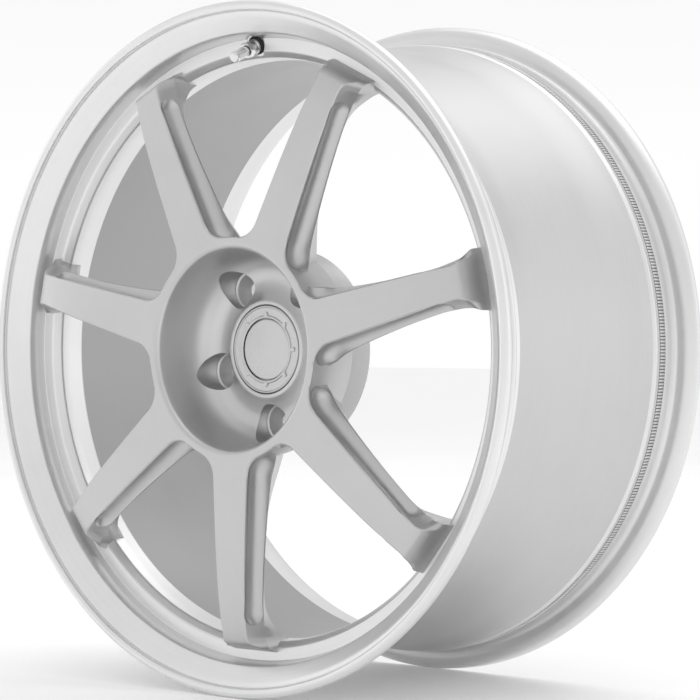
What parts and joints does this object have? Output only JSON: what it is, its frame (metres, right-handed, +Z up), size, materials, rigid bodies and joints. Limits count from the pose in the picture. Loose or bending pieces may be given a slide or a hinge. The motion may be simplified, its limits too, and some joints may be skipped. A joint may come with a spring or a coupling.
{
  "type": "forged racing wheel rim",
  "caption": "Deep-lipped forged racing wheel with slim milled spokes, a dished bolt-on hub, a clip-in centre cap and an angled screw-in tyre valve.",
  "frame": {"origin": "centre of the rim: on the wheel's axis, halfway between the two bead faces", "axes": "+Y along the wheel's axis towards the vehicle, so the outer face looks along -Y; +Z up, through the tyre valve; +X completes the right-handed frame"},
  "size_m": [0.522, 0.2436, 0.522],
  "materials": {
    "forged_aluminium": "bare satin, machined and brushed",
    "turned_aluminium": "fine turned",
    "bright_plating": "bright nickel plate",
    "spring_steel": "drawn wire",
    "brass": "turned",
    "black_rubber": "moulded, matt"
  },
  "bodies": {
    "wheel": {"outer_lip": "forged_aluminium", "barrel": "forged_aluminium", "inner_flange": "forged_aluminium", "hub_centre": "forged_aluminium", "spoke_1": "forged_aluminium", "spoke_2": "forged_aluminium", "spoke_3": "forged_aluminium", "spoke_4": "forged_aluminium", "spoke_5": "forged_aluminium", "spoke_6": "forged_aluminium", "spoke_7": "forged_aluminium", "valve_stem": "turned_aluminium", "valve_grommet": "black_rubber", "valve_outer_seal": "black_rubber", "valve_collar": "turned_aluminium", "valve_nut": "bright_plating", "valve_core_body": "brass", "valve_core_spring": "spring_steel"},
    "centre_cap": {"centre_cap_body": "turned_aluminium", "centre_cap_medallion": "turned_aluminium", "centre_cap_spring_ring": "spring_steel"},
    "valve_pin": {"valve_core_pin": "brass"},
    "valve_dust_cap": {"valve_cap": "bright_plating", "valve_cap_seal": "black_rubber"}
  },
  "joints": [
    {"name": "centre_cap_pull", "type": "slide", "parent": "wheel", "child": "centre_cap", "axis": [0, -1, 0], "range_m": [0, 0.03]},
    {"name": "valve_pin_press", "type": "slide", "parent": "wheel", "child": "valve_pin", "axis": [0, 0.91, 0.4147], "range_m": [0, 0.0015], "stiffness_N_per_m": 800, "springref_m": -0.001},
    {"name": "valve_cap_unscrew", "type": "slide", "parent": "wheel", "child": "valve_dust_cap", "axis": [0, -0.91, -0.4147], "range_m": [0, 0.016]}
  ]
}
